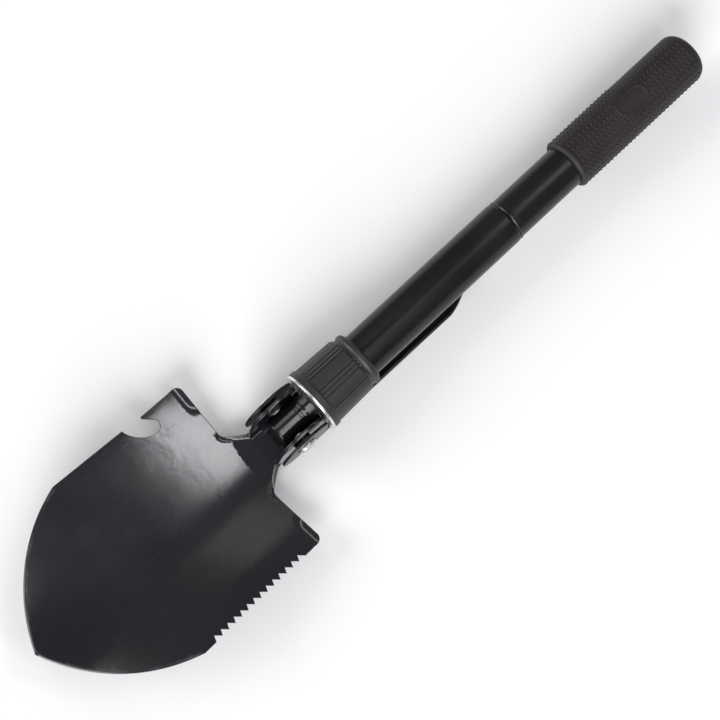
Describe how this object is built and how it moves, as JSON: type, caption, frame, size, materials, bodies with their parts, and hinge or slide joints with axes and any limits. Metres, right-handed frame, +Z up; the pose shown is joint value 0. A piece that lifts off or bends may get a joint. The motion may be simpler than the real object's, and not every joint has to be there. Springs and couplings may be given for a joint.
{
  "type": "folding shovel",
  "caption": "Folding camp shovel: pointed dished blade with saw edge and opener notch, stowed pick, screw locking collar, tube handle and dotted rubber grip.",
  "frame": {"origin": "centre of the whole shovel's plan, on the plane of the stowed pick's flat underside, which the shovel lies on", "axes": "+X along the handle towards the grip, +Y along the hinge rivet towards the opener-notch edge, +Z up out of the blade's hollow side"},
  "size_m": [0.409, 0.0992, 0.0344],
  "materials": {
    "blade_paint": "gloss black enamel over pressed steel",
    "pick_paint": "satin black enamel over pressed steel",
    "knuckle_paint": "gloss black enamel over steel",
    "tube_paint": "satin black powder coat over steel tube",
    "rivet_plating": "dull zinc plating",
    "ring_plating": "bright zinc plating",
    "joint_steel": "darkened steel with a bright bevel",
    "inner_steel": "turned steel",
    "collar_plastic": "moulded warm dark grey plastic, fine texture",
    "plug_plastic": "moulded black plastic",
    "grip_rubber": "matte brownish black rubber with raised dots"
  },
  "bodies": {
    "handle": {"knuckle": "knuckle_paint", "stud_pin": "inner_steel", "lower_tube": "tube_paint", "joint_socket": "inner_steel", "rivet": "rivet_plating", "rivet_washer_left": "rivet_plating", "rivet_washer_right": "rivet_plating", "spacer_left": "ring_plating", "spacer_right": "ring_plating", "shim_left": "ring_plating", "shim_right": "ring_plating"},
    "blade": {"blade": "blade_paint"},
    "pick": {"pick": "pick_paint"},
    "lock_ring": {"collar_ring": "ring_plating"},
    "collar": {"collar_shell": "collar_plastic", "collar_nut": "inner_steel"},
    "joint_ring": {"joint_washer": "joint_steel"},
    "rear_handle": {"upper_tube": "tube_paint", "joint_stud": "inner_steel", "end_plug": "plug_plastic", "grip": "grip_rubber"}
  },
  "joints": [
    {"name": "blade_hinge", "type": "hinge", "parent": "handle", "child": "blade", "pos_m": [-0.0561, 0, 0.0186], "axis": [0, 1, 0], "range_deg": [0, 170]},
    {"name": "pick_hinge", "type": "hinge", "parent": "handle", "child": "pick", "pos_m": [-0.0561, 0, 0.0186], "axis": [0, 1, 0], "range_deg": [0, 90]},
    {"name": "collar_travel", "type": "slide", "parent": "handle", "child": "lock_ring", "axis": [1, 0, 0], "range_m": [-0.00075, 0.007]},
    {"name": "collar_turn", "type": "hinge", "parent": "lock_ring", "child": "collar", "pos_m": [-0.0261, 0, 0.0186], "axis": [1, 0, 0], "range_deg": [-130, 1240]},
    {"name": "handle_travel", "type": "slide", "parent": "handle", "child": "joint_ring", "axis": [1, 0, 0], "range_m": [0, 0.0076]},
    {"name": "handle_turn", "type": "hinge", "parent": "joint_ring", "child": "rear_handle", "pos_m": [0.0939, 0, 0.0186], "axis": [1, 0, 0], "range_deg": [0, 1800]}
  ],
  "couplings": [
    {"joint": "collar_travel", "follows": "collar_turn", "m_per_rad": 0.00031831},
    {"joint": "handle_travel", "follows": "handle_turn", "m_per_rad": 0.00023873}
  ]
}
